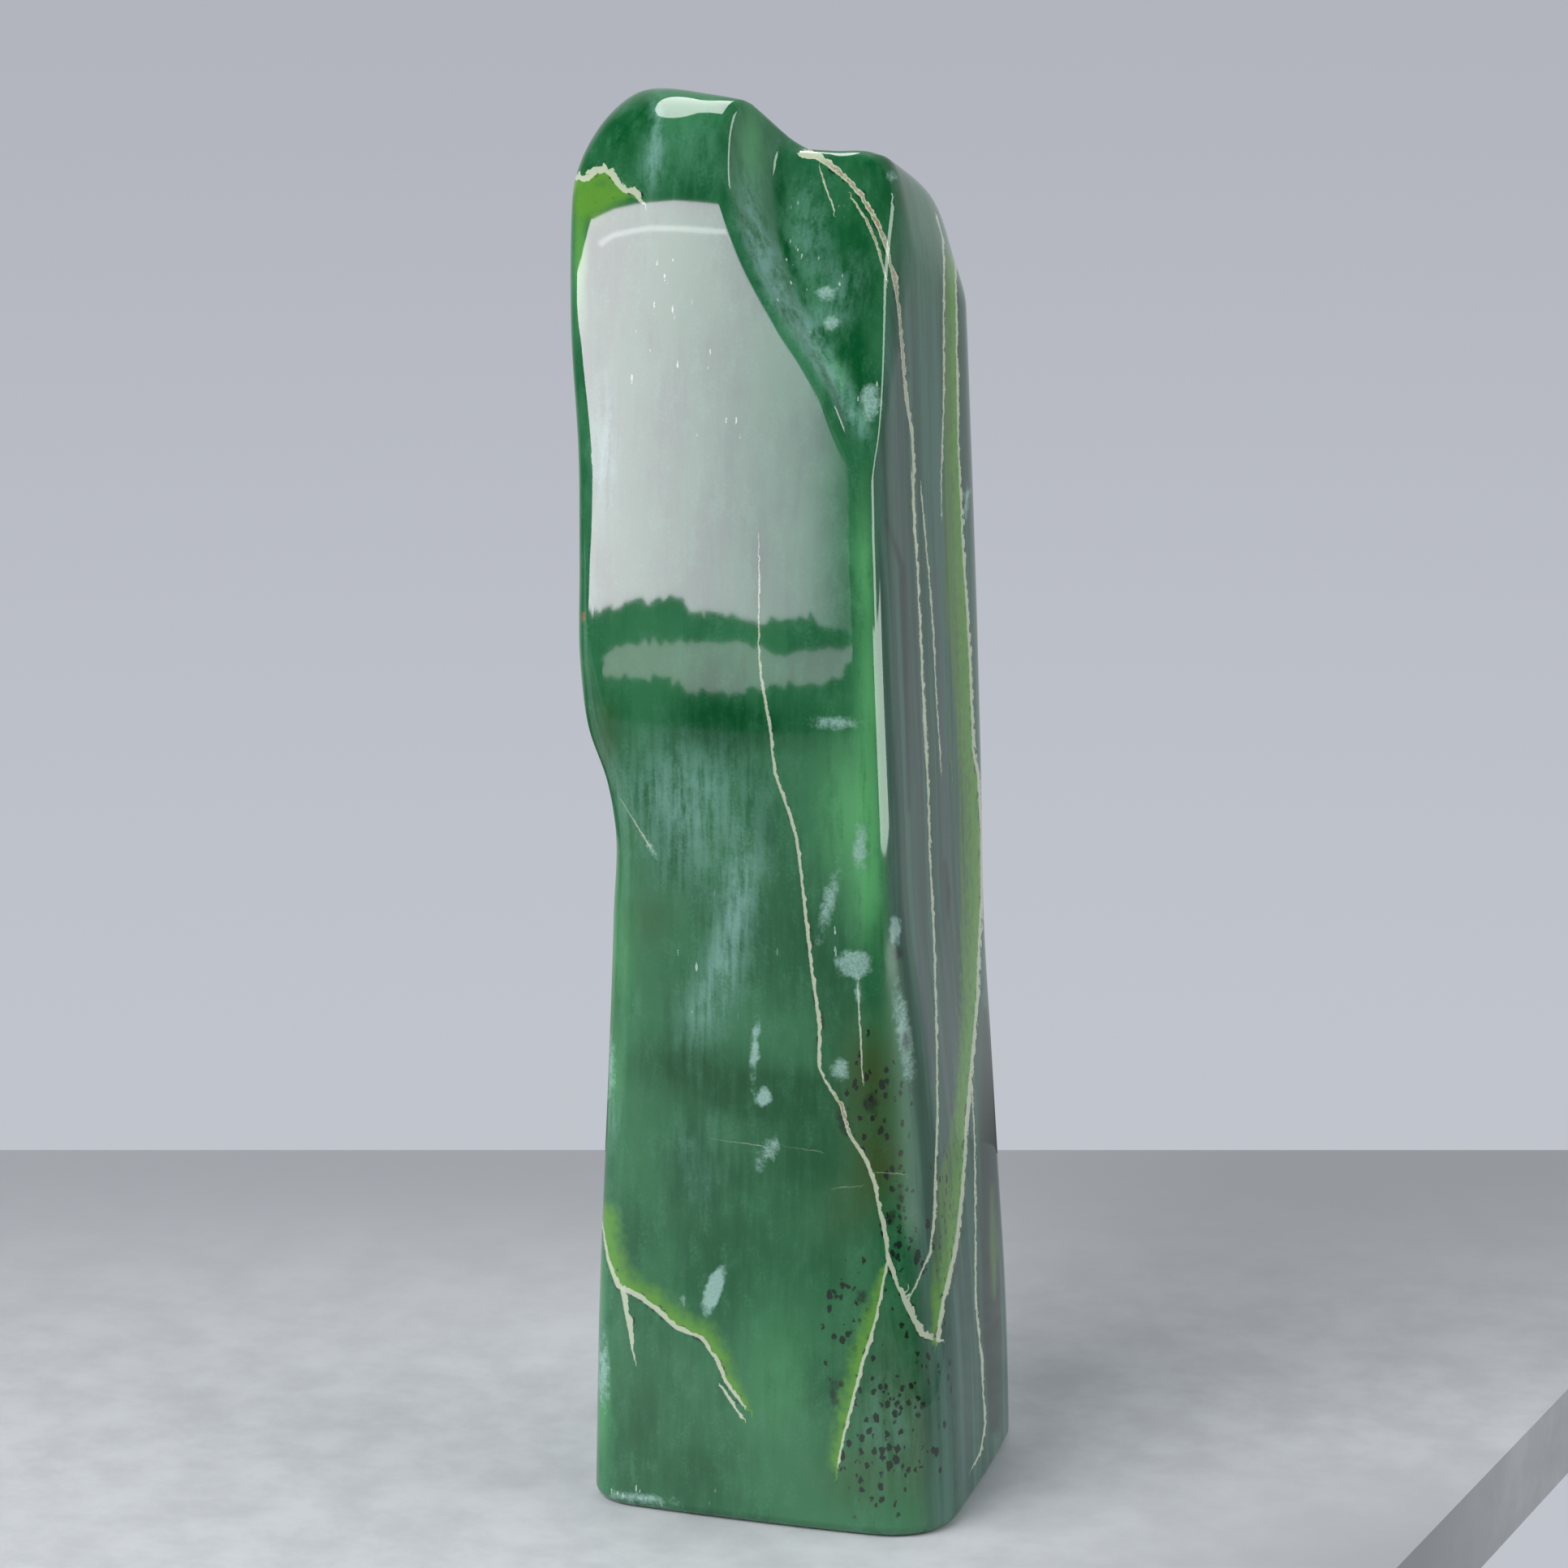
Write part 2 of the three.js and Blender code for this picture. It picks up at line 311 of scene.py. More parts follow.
def photo_pixels(points):
    """Where points appear in the photograph."""
    back, right, up = camera_axes()
    offset = points - np.array(CAMERA_TARGET) - CAMERA_DISTANCE * back
    depth = -offset @ back
    across = PHOTO_SIDE / 2 + FOCAL_PIXELS * (offset @ right) / depth
    return across, PHOTO_SIDE / 2 - FOCAL_PIXELS * (offset @ up) / depth


def smooth(value, low, high):
    """Runs from 0 at low to 1 at high."""
    t = np.clip((value - low) / (high - low), 0, 1)
    return t * t * (3 - 2 * t)


# Tints of the front and right faces: soft spots by photograph pixel, as across, down, half width, half
# height, degrees that the top leans right, and strength.
FRONT_TINTS = {
    # Pale haze: partly the stone's own, partly a painted reflection, where the leaning spots down the notch
    # wall paint the pale light that its band mirrors.
    "haze_and_reflection": [
        (908, 1110, 22, 75, 12, 1.0), (890, 1200, 24, 60, 12, 0.8), (858, 1250, 22, 40, 10, 0.5),
        (840, 975, 80, 55, 0, 0.7), (860, 1040, 60, 60, 0, 0.45), (745, 560, 14, 75, 0, 0.9),
        (733, 1640, 10, 45, 0, 0.4), (755, 1860, 40, 12, 0, 0.3), (756, 1375, 8, 25, 0, 0.6),
        (925, 240, 14, 45, -10, 0.5), (950, 330, 15, 45, -25, 0.9), (985, 400, 15, 45, -35, 0.9),
        (1020, 455, 14, 40, -35, 0.9), (1050, 510, 12, 35, -30, 0.9), (806, 198, 11, 34, 5, 1.0),
        (811, 148, 9, 28, 0, 0.6), (1020, 390, 24, 22, 0, 0.5), (860, 1430, 40, 60, 0, 0.2),
        (995, 290, 22, 60, -10, 0.45), (1040, 350, 24, 30, 0, 0.4), (1105, 1745, 50, 80, 0, 0.3),
        (935, 300, 14, 50, -20, 0.9), (860, 190, 40, 40, 0, 0.15),
    ],
    # Deep green: partly the stone's own and partly painted shade; the thin leaning spots down the notch's
    # crease and those on its floor paint its shade, and the wide ones near row 900 are a painted reflection
    # of the dark band under the mirrored strip.
    "deep": [
        (765, 165, 34, 44, 0, 1.0), (850, 240, 40, 24, 0, 0.8), (795, 135, 14, 22, 0, 0.8),
        (728, 215, 10, 20, 0, 0.8), (880, 890, 60, 32, 0, 1.0), (930, 900, 60, 30, 0, 0.8),
        (1000, 900, 30, 30, 0, 0.4), (950, 1350, 90, 32, 0, 1.6), (840, 1310, 70, 34, 0, 1.0),
        (1000, 1430, 60, 60, 0, 0.8), (900, 1440, 60, 50, 0, 0.5), (920, 1560, 110, 70, 0, 0.4),
        (790, 1740, 34, 80, 0, 0.6), (860, 1810, 70, 34, 0, 0.6), (1030, 1240, 30, 90, 0, 0.8),
        (975, 1700, 50, 90, 0, 0.4), (730, 1330, 16, 50, 0, 0.5), (850, 1480, 70, 40, 0, 0.2),
        (1010, 290, 35, 80, -15, 0.4), (1060, 300, 25, 60, 0, 0.8), (1060, 380, 30, 50, 0, 0.8),
        (1055, 450, 18, 44, -20, 1.6), (1090, 200, 40, 14, 0, 1.0), (962, 240, 8, 40, -8, 1.0),
        (975, 320, 8, 50, -22, 1.0), (1003, 400, 8, 46, -35, 0.9), (1020, 1560, 28, 45, 0, 0.6),
        (985, 1150, 40, 60, 0, 0.5), (1080, 235, 30, 30, 0, 0.6), (1110, 250, 22, 60, 0, 0.5),
    ],
    "bright": [
        (1066, 700, 14, 70, 0, 0.9), (1072, 850, 16, 90, 0, 0.9), (1075, 1000, 20, 80, 0, 0.8),
        (1072, 1100, 22, 60, 0, 0.8), (1040, 1000, 28, 80, 0, 0.7), (715, 320, 8, 60, 0, 0.8),
        (748, 1330, 14, 40, 0, 0.6), (736, 1560, 9, 60, 0, 0.6), (742, 1740, 9, 60, 0, 0.5),
        (1030, 460, 10, 20, -20, 0.5), (760, 1180, 20, 100, 0, 0.4), (925, 180, 16, 50, 0, 0.7),
        (960, 1700, 40, 80, 0, 0.3),
    ],
    "lime": [(728, 250, 20, 22, 0, 1.3), (752, 240, 18, 12, 0, 1.2), (714, 300, 6, 50, 0, 0.8)],
    "dull": [(1112, 1290, 34, 110, 0, 1.6), (1120, 1420, 40, 90, 0, 1.2)],
    "brown": [
        (1040, 215, 40, 24, 0, 0.9), (1075, 270, 28, 50, 0, 1.0), (1107, 400, 22, 110, 0, 0.9),
        (1040, 1370, 26, 40, 0, 0.9),
    ],
    "rusty": [
        (807, 387, 2.5, 4, 0, 1.0), (719, 760, 3, 9, 0, 1.0), (1040, 1372, 6, 5, 0, 0.8),
        (1018, 1345, 3, 5, 0, 0.8),
    ],
    "olive": [
        (1072, 1330, 34, 70, 0, 1.0), (1085, 1430, 35, 50, 0, 0.9), (1100, 1700, 55, 90, 0, 0.55),
        (1060, 1820, 50, 40, 0, 0.5), (748, 905, 14, 45, 0, 0.6), (800, 1130, 28, 40, 0, 0.35),
        (1140, 1780, 30, 80, 0, 0.6), (1050, 1490, 40, 40, 0, 0.5), (1228, 1490, 8, 110, 0, 0.6),
    ],
    "peppered": [
        (1112, 1500, 18, 60, -12, 1.0), (1105, 1740, 45, 80, 0, 1.0), (1080, 1350, 30, 50, 0, 0.8),
        (1040, 1600, 26, 60, 0, 0.7), (1165, 1500, 14, 70, 0, 0.7), (1060, 1820, 40, 30, 0, 0.5),
    ],
    "flecked": [
        (828, 335, 7, 16, 0, 0.9), (875, 412, 6, 38, 0, 0.9), (837, 508, 6, 28, 0, 0.9),
        (900, 538, 11, 18, 0, 0.9), (840, 440, 60, 110, 0, 0.12), (1000, 340, 40, 70, 0, 0.2),
        (1070, 495, 18, 26, 0, 0.5), (870, 1180, 70, 90, 0, 0.1), (780, 1850, 60, 20, 0, 0.4),
        (1050, 1180, 30, 30, 0, 0.4), (730, 1600, 14, 120, 0, 0.3),
    ],
}

# Long bands of the right face by photograph pixel: across, down and half width.
FRONT_BANDS = {
    "fern": [
        [(1168, 290, 2), (1170, 330, 5), (1171, 400, 8), (1171, 560, 8), (1174, 640, 10), (1179, 760, 12),
         (1187, 870, 10), (1193, 960, 10), (1196, 1100, 12), (1194, 1230, 9), (1190, 1330, 8),
         (1180, 1400, 10), (1170, 1470, 17), (1165, 1540, 15), (1156, 1600, 9), (1154, 1640, 3)],
        [(1222, 1460, 1), (1225, 1540, 5), (1225, 1600, 1)],
    ],
    "ash": [
        [(1108, 440, 5), (1112, 640, 9), (1122, 760, 9), (1128, 900, 8), (1133, 1010, 7), (1138, 1200, 8),
         (1148, 1330, 3)],
        [(1180, 340, 3), (1189, 480, 5), (1191, 600, 6), (1194, 640, 2)],
        [(1152, 700, 3), (1162, 960, 5), (1168, 1100, 7), (1170, 1250, 11), (1171, 1370, 10),
         (1166, 1400, 3)],
    ],
    # Painted shade: near-black bands down the right face.
    "shade": [
        [(1214, 1245, 3), (1218, 1380, 10), (1222, 1640, 11), (1226, 1760, 6)],
        [(1164, 1060, 1), (1168, 1100, 3), (1168, 1130, 1)],
        [(1092, 640, 1), (1112, 700, 3), (1118, 900, 2), (1120, 1000, 1)],
    ],
}
BAND_EDGE = 3.5

# Veins of the front and right faces by photograph pixel: across, down, half width and, where the vein has
# one, the reach of its lime edge: above zero on the left of a vein that runs down, below zero on its right.
# Veins of one set keep apart.
FRONT_VEINS = [
    [
        [(935, 660, 0.5), (935, 800, 1.2), (938, 838, 1.6), (949, 897, 2), (955, 953, 2), (968, 989, 2),
         (981, 1030, 2), (988, 1081, 2), (993, 1132, 2.2), (1001, 1198, 2.4), (1010, 1265, 2.4),
         (1009, 1313, 2.2), (1019, 1334, 2.2), (1037, 1362, 3), (1047, 1397, 3), (1067, 1428, 3),
         (1078, 1456, 3.5), (1083, 1482, 3), (1093, 1533, 3), (1094, 1551, 3), (1104, 1577, 3),
         (1119, 1610, 4), (1137, 1643, 6), (1155, 1650, 4)],
        [(990, 190, 6), (1007, 192, 5), (1021, 202, 4.5), (1044, 221, 4), (1060, 239, 4), (1073, 260, 4),
         (1083, 280, 3.5), (1094, 308, 3.5), (1101, 338, 3.2), (1108, 377, 3), (1112, 434, 2.6),
         (1117, 492, 2.4), (1124, 534, 2.2), (1126, 568, 2), (1126, 625, 1.5), (1131, 704, 1.5),
         (1135, 800, 1.5), (1141, 902, 1.5), (1144, 979, 1.5), (1146, 1055, 1.5), (1151, 1157, 1.5),
         (1155, 1303, 1.5), (1155, 1380, 1.6), (1151, 1500, 1.8), (1146, 1543, 1.6), (1135, 1569, 1.4),
         (1122, 1597, 1)],
        [(741, 1500, 1, -30), (749, 1551, 2, -32), (762, 1584, 4, -34), (787, 1597, 3.5, -32),
         (808, 1612, 3.5, -32), (833, 1635, 3.5, -32), (864, 1648, 2.5, -30), (882, 1673, 2.5, -26),
         (894, 1702, 2.5, -22), (915, 1730, 2, -14)],
        [(706, 216, 6, 46), (722, 219, 6.5, 46), (730, 212, 6, 44), (745, 207, 6, 40), (755, 213, 6, 36),
         (763, 226, 6, 28), (772, 234, 5.5, 20), (781, 234, 5, 14), (791, 249, 2.5)],
    ],
    [
        [(1094, 1551, 1.6), (1089, 1577, 1.8, 16), (1079, 1628, 2, 24), (1063, 1679, 2.6, 26),
         (1050, 1730, 2.4, 24), (1040, 1768, 2, 20), (1033, 1801, 1.4, 16)],
        [(1177, 320, 1, 12), (1179, 411, 1.5, 14), (1181, 545, 1.6, 14), (1188, 694, 1.8, 18),
         (1195, 800, 2, 20), (1200, 928, 2.2, 22), (1206, 958, 2.4, 24), (1210, 1030, 2.4, 26),
         (1210, 1106, 2.4, 26), (1206, 1183, 2.4, 26), (1205, 1227, 2.4, 26), (1198, 1308, 2.4, 24),
         (1191, 1380, 2.4, 22), (1188, 1443, 2.4, 22), (1182, 1507, 2.6, 22), (1175, 1551, 2.8, 22),
         (1163, 1602, 3, 20), (1155, 1650, 3, 12)],
        [(889, 1709, 1), (900, 1725, 2.4), (913, 1744, 2)],
        [(1050, 245, 1), (1068, 272, 2), (1080, 300, 1.8), (1092, 345, 1)],
        [(1123, 580, 0.8), (1126, 640, 1.5), (1131, 704, 1.5), (1135, 800, 1.4), (1139, 900, 1.2),
         (1142, 951, 0.6)],
        [(1057, 1215, 1), (1060, 1270, 1.4), (1063, 1330, 1)],
        [(1011, 208, 1), (1016, 225, 1.6), (1028, 260, 0.8)],
    ],
    [
        [(1153, 264, 1), (1161, 290, 1.2), (1163, 320, 1.3), (1163, 488, 1.2), (1160, 580, 1),
         (1160, 637, 0.6)],
        [(1135, 600, 1), (1140, 660, 1.2), (1145, 708, 1.2), (1151, 800, 1.1), (1155, 877, 1),
         (1160, 953, 0.6)],
        [(1197, 1328, 0.8), (1201, 1405, 1.2), (1202, 1507, 1.2), (1202, 1602, 1.4), (1210, 1679, 1.6),
         (1214, 1755, 1.6), (1209, 1788, 1.4), (1198, 1809, 1)],
        [(768, 1590, 4), (774, 1620, 4.5), (779, 1655, 2.5), (782, 1676, 0.8)],
        [(875, 1403, 0.3), (940, 1412, 0.5)],
        [(965, 1412, 0.3), (1010, 1419, 0.4)],
        [(1030, 1464, 0.4), (1062, 1461, 0.4)],
        [(1078, 1444, 0.4), (1112, 1447, 0.5)],
        [(765, 985, 0.4), (800, 1042, 0.8)],
    ],
]

# Crisp patches by photograph pixel, with the same numbers as the tints less the strength.
# Pale patches, mostly the stone's own: the small one at 1098, 218 is a painted highlight and the flat one at
# 1030, 890 a painted reflection of a pale bar.
PALE_PATCHES_AND_HIGHLIGHTS = [
    (950, 1415, 8, 15, 10), (937, 1431, 4, 8, 0), (1035, 1318, 10, 12, 0), (1052, 1188, 22, 17, 0),
    (1021, 1112, 7, 34, 14), (1114, 1275, 8, 52, -8), (1060, 1043, 8, 24, 0), (1018, 362, 11, 9, -30),
    (1072, 496, 12, 22, 0), (1098, 218, 5, 5, 0), (1025, 398, 9, 8, 0), (1030, 890, 26, 7, 0),
    (748, 1310, 8, 40, 0), (744, 1690, 6, 34, 0), (790, 1846, 30, 5, 5),
]
CLEAN_PATCHES = [
    (879, 1590, 11, 30, 18), (930, 1290, 5, 38, 4), (941, 1352, 10, 12, 0), (1103, 1147, 7, 19, 0),
    (1191, 616, 3, 14, 0), (842, 1603, 3, 7, 0), (800, 1042, 3, 14, -28), (1057, 1222, 4, 14, 0),
]
DARK_PATCHES = [
    (1116, 1285, 5, 14, 0), (1072, 1360, 10, 12, 0), (1040, 1382, 8, 17, -20), (1107, 1175, 6, 10, 0),
    (1062, 1600, 6, 9, 0), (1058, 1680, 5, 7, 0), (1028, 1718, 6, 18, 0), (1098, 1500, 6, 10, 0),
    (1110, 1470, 5, 9, 0),
]

PATCHES = {"pale_patch_and_highlight": PALE_PATCHES_AND_HIGHLIGHTS, "clean_patch": CLEAN_PATCHES, "dark_patch": DARK_PATCHES}
# How deep inside a patch a point counts where the photograph doesn't reach, and at the least anywhere.
OUTSIDE_PATCHES = -3
DEPTH_FLOOR = -20.0

# Tints and veins of the faces that the photograph doesn't show: the back by x and z, the left by y and z.
BACK_TINTS = {
    "haze_and_reflection": [(-12, 180, 7, 34, -12, 0.7), (14, 92, 9, 30, 10, 0.6)],
    "deep": [(10, 200, 20, 22, 0, 0.7), (-16, 110, 20, 22, 0, 0.7), (8, 30, 26, 18, 0, 0.5)],
    "bright": [(24, 150, 8, 40, 0, 0.8), (-26, 50, 8, 30, 0, 0.6)],
    "olive": [(-24, 196, 10, 20, 0, 0.6), (22, 40, 12, 20, 0, 0.6)],
    "peppered": [(20, 44, 12, 20, 0, 0.9), (-20, 205, 9, 16, 0, 0.6)],
    "flecked": [(-4, 150, 20, 30, 0, 0.5), (12, 235, 12, 16, 0, 0.7)],
}
LEFT_TINTS = {
    "haze_and_reflection": [(-4, 120, 6, 34, 6, 0.6), (10, 220, 6, 24, 0, 0.6)],
    "deep": [(0, 178, 16, 20, 0, 0.7), (12, 60, 16, 24, 0, 0.6)],
    "bright": [(-16, 90, 8, 40, 0, 0.7), (16, 140, 7, 30, 0, 0.6)],
    "olive": [(-14, 138, 8, 14, 0, 0.7)],
    "flecked": [(-4, 210, 14, 24, 0, 0.6)],
}
BACK_VEINS = [
    [
        [(-10, 268, 0.2), (-4, 232, 0.35), (2, 196, 0.4, -3), (-1, 158, 0.35, -3), (6, 122, 0.4),
         (16, 92, 0.45, 4), (20, 58, 0.5, 4), (27, 30, 0.35, 3), (29, 8, 0.2)],
    ],
    [
        [(3, 190, 0.2), (12, 170, 0.3), (20, 146, 0.3), (25, 120, 0.15)],
        [(-26, 118, 0.2), (-20, 86, 0.4, 4), (-17, 60, 0.45, 4), (-9, 38, 0.35, 3), (-6, 14, 0.2)],
    ],
    [],
]
LEFT_VEINS = [
    [
        [(20, 262, 0.2), (13, 226, 0.35, 3.5), (9, 190, 0.4, 3.5), (2, 150, 0.3), (4, 112, 0.25)],
    ],
    [
        [(-24, 74, 0.3), (-12, 62, 0.4, -4), (2, 56, 0.4, -4), (14, 40, 0.35), (20, 18, 0.2)],
    ],
    [],
]
# How far from a vein its own width holds, so that the next vein's numbers don't mix with it.
VEIN_REACH = 1.3
# Distances that stand for no vein at all.
NO_VEIN = 50
FAR_OFF = 1e6
VEIN_SETS = 3
# How squarely a face looks at the camera, back or left for its marks to start and to be full.
SEEN_FROM, SEEN_FULL = 0.0, 0.1
BACK_FROM, BACK_FULL = 0.35, 0.6
LEFT_FROM, LEFT_FULL = 0.6, 0.8
SLATE_FROM, SLATE_FULL = 0.55, 0.9
# The slate colour comes in down the right face between these photograph rows, from a faint share.
SLATE_TOP_ROW, SLATE_FULL_ROW = 230, 420
SLATE_FAINT = 0.2


def spot_distance(spot, across, down):
    """0 at a spot's middle and 1 at its rim."""
    turn = math.radians(spot[4])
    dx, dy = across - spot[0], down - spot[1]
    u = (dx * math.cos(turn) + dy * math.sin(turn)) / spot[2]
    v = (dy * math.cos(turn) - dx * math.sin(turn)) / spot[3]
    return np.hypot(u, v)


def tint(spots, across, down):
    """The summed strength of soft spots, at most 1."""
    total = np.zeros(across.shape)
    for spot in spots:
        total += spot[5] * np.exp(-spot_distance(spot, across, down) ** 2)
    return np.clip(total, 0, 1)


def band(paths, across, down):
    """1 inside long bands and 0 outside them."""
    gap, width, _ = vein_numbers(paths, across, down)
    return smooth(width - np.abs(gap), -BAND_EDGE, BAND_EDGE)


def patch_depth(patches, across, down):
    """How deep points lie inside the nearest patch, below zero outside."""
    depth = np.full(across.shape, DEPTH_FLOOR)
    for patch in patches:
        depth = np.maximum(depth, (1 - spot_distance(patch, across, down)) * min(patch[2], patch[3]))
    return depth


def vein_numbers(paths, across, down):
    """For each point the signed distance, half width and lime reach of the nearest vein."""
    best = np.full(across.shape, FAR_OFF)
    side, width, lime = np.ones(across.shape), np.zeros(across.shape), np.zeros(across.shape)
    for path in paths:
        reaches = [point[3] if len(point) > 3 else 0 for point in path]
        for a, b, from_lime, to_lime in zip(path[:-1], path[1:], reaches[:-1], reaches[1:]):
            run, fall = b[0] - a[0], b[1] - a[1]
            t = np.clip(((across - a[0]) * run + (down - a[1]) * fall) / (run * run + fall * fall), 0, 1)
            dx, dy = across - a[0] - t * run, down - a[1] - t * fall
            gap = np.hypot(dx, dy)
            closer = gap < best
            best = np.where(closer, gap, best)
            side = np.where(closer, np.where(run * dy - fall * dx >= 0, 1, -1), side)
            width = np.where(closer, a[2] + (b[2] - a[2]) * t, width)
            lime = np.where(closer, from_lime + (to_lime - from_lime) * t, lime)
    return best * side, width, lime


def stone_views(points, normals):
    """For front, back and left: how much it shows each point, where the point lies in it, marks and scale."""
    back, _, _ = camera_axes()
    to_camera = np.array(CAMERA_TARGET) + CAMERA_DISTANCE * back - points
    to_camera /= np.linalg.norm(to_camera, axis=1, keepdims=True)
    facing = (normals * to_camera).sum(1)
    seen = smooth(facing, SEEN_FROM, SEEN_FULL)
    behind = smooth(normals[:, 1], BACK_FROM, BACK_FULL) * (facing < 0)
    beside = smooth(-normals[:, 0], LEFT_FROM, LEFT_FULL) * (facing < 0)
    x, y, z = points.T
    return [
        (seen, *photo_pixels(points), FRONT_TINTS, FRONT_VEINS, 1 / PIXELS_PER_MM),
        (behind, x, z, BACK_TINTS, BACK_VEINS, 1.0),
        (beside, y, z, LEFT_TINTS, LEFT_VEINS, 1.0),
    ]


def vein_marks(views, number, count):
    """The signed distance, half width and lime reach of one set's nearest vein at each point."""
    numbers = np.zeros((count, 3))
    numbers[:, 0] = NO_VEIN
    for weight, u, v, _, veins, scale in views:
        gap, width, lime = (values * scale for values in vein_numbers(veins[number], u, v))
        shown = weight > 0
        near = np.abs(gap) < VEIN_REACH
        rimmed = np.abs(gap) < np.abs(lime) + VEIN_REACH
        numbers[shown, 0] = gap[shown]
        numbers[shown, 1] = (width * near * weight)[shown]
        numbers[shown, 2] = (lime * rimmed * weight)[shown]
    return numbers


def stone_marks(points, normals):
    """Named numbers at each point, which the jade's finish reads."""
    views = stone_views(points, normals)
    marks = {}
    for name in FRONT_TINTS:
        marks[name] = sum(view[0] * tint(view[3].get(name, []), view[1], view[2]) for view in views)
    seen, across, down = views[0][:3]
    for name, paths in FRONT_BANDS.items():
        marks[name] = seen * band(paths, across, down)
    for name, patches in PATCHES.items():
        depth = patch_depth(patches, across, down) / PIXELS_PER_MM
        marks[name] = np.where(seen > 0, depth, OUTSIDE_PATCHES)
    lower = SLATE_FAINT + (1 - SLATE_FAINT) * smooth(down, SLATE_TOP_ROW, SLATE_FULL_ROW)
    marks["slate"] = smooth(normals[:, 0], SLATE_FROM, SLATE_FULL) * lower
    for number in range(VEIN_SETS):
        marks[f"vein_{number + 1}"] = vein_marks(views, number, len(points))
    return marks


def stone_piece():
    """The polished stone as one closed mesh, its box's middle on the origin, and how far it was moved."""
    points, normals = stone_points()
    middle = (points.min(0) + points.max(0)) / 2 * (1, 1, 0)
    mesh = bpy.data.meshes.new("polished_stone")
    mesh.from_pydata(((points - middle) * MM).tolist(), [], stone_faces(len(points)))
    mesh.polygons.foreach_set("use_smooth", [True] * len(mesh.polygons))
    for name, values in stone_marks(points, normals).items():
        if values.ndim == 2:
            mesh.attributes.new(name, "FLOAT_VECTOR", "POINT").data.foreach_set("vector", values.ravel())
        else:
            mesh.attributes.new(name, "FLOAT", "POINT").data.foreach_set("value", values.astype(float))
    mesh.normals_split_custom_set_from_vertices(normals.tolist())
    piece = bpy.data.objects.new("polished_stone", mesh)
    bpy.context.scene.collection.objects.link(piece)
    return piece, middle


# A colour Mix node's sockets, by place: their names are shared with the sockets of its other kinds.
MIX_FACTOR, MIX_A, MIX_B, MIX_RESULT = 0, 6, 7, 2


class Wire:
    """An output socket. Arithmetic on it adds Math nodes."""

    def __init__(self, finish, socket):
        self.finish = finish
        self.socket = socket

    def __add__(self, other):
        return self.finish.math("ADD", self, other)

    def __sub__(self, other):
        return self.finish.math("SUBTRACT", self, other)

    def __mul__(self, other):
        return self.finish.math("MULTIPLY", self, other)

    def __truediv__(self, other):
        return self.finish.math("DIVIDE", self, other)

    def __rsub__(self, other):
        return self.finish.math("SUBTRACT", other, self)

    __radd__ = __add__
    __rmul__ = __mul__


class Finish:
    """The node tree of a material or of the world."""

    def __init__(self, owner):
        owner.use_nodes = True
        self.tree = owner.node_tree
        self.tree.nodes.clear()

    def node(self, kind, settings=None, inputs=None, output=0):
        """A new node's output, or a list of its outputs where a tuple names them."""
        made = self.tree.nodes.new(kind)
        for name, value in (settings or {}).items():
            setattr(made, name, value)
        for key, value in (inputs or {}).items():
            if isinstance(value, Wire):
                self.tree.links.new(value.socket, made.inputs[key])
            else:
                made.inputs[key].default_value = value
        if isinstance(output, tuple):
            return [Wire(self, made.outputs[key]) for key in output]
        return Wire(self, made.outputs[output]) if len(made.outputs) else made

    def math(self, operation, *values):
        return self.node("ShaderNodeMath", {"operation": operation}, dict(enumerate(values)))

    def mix(self, factor, a, b):
        inputs = {MIX_FACTOR: factor, MIX_A: a, MIX_B: b}
        return self.node("ShaderNodeMix", {"data_type": "RGBA"}, inputs, output=MIX_RESULT)

    def lay(self, colour, shade, mask, cover=1.0):
        """A colour with a shade over it where the mask is 1, as much as cover says."""
        return self.mix(mask * cover, colour, shade)

    def step(self, value, start, end):
        """Runs smoothly from 0 where value is start to 1 where it is end."""
        inputs = {"Value": value, "From Min": start, "From Max": end}
        return self.node("ShaderNodeMapRange", {"interpolation_type": "SMOOTHSTEP"}, inputs)

    def stretched(self, vector, scale):
        return self.node("ShaderNodeVectorMath", {"operation": "MULTIPLY"}, {0: vector, 1: scale})

    def place(self):
        """Where a point lies on its object, in millimetres."""
        return self.stretched(self.node("ShaderNodeTexCoord", output="Object"), (1 / MM, 1 / MM, 1 / MM))

    def far_along(self, vector, way):
        """How far a vector reaches in a direction."""
        inputs = {0: vector, 1: way}
        return self.node("ShaderNodeVectorMath", {"operation": "DOT_PRODUCT"}, inputs, output="Value")

    def noise(self, vector, scale, detail=2.0, roughness=0.5):
        inputs = {"Vector": vector, "Scale": scale, "Detail": detail, "Roughness": roughness}
        return self.node("ShaderNodeTexNoise", None, inputs)

    def cells(self, vector, scale):
        """Distance to the nearest of scattered points, and a chance number that each point has."""
        inputs = {"Vector": vector, "Scale": scale}
        near, chance = self.node("ShaderNodeTexVoronoi", None, inputs, output=("Distance", "Color"))
        return near, self.node("ShaderNodeSeparateColor", None, {0: chance})

    def mark(self, name):
        return self.node("ShaderNodeAttribute", {"attribute_name": name}, output="Fac")

    def mark_parts(self, name):
        vector = self.node("ShaderNodeAttribute", {"attribute_name": name}, output="Vector")
        return self.node("ShaderNodeSeparateXYZ", None, {0: vector}, output=(0, 1, 2))


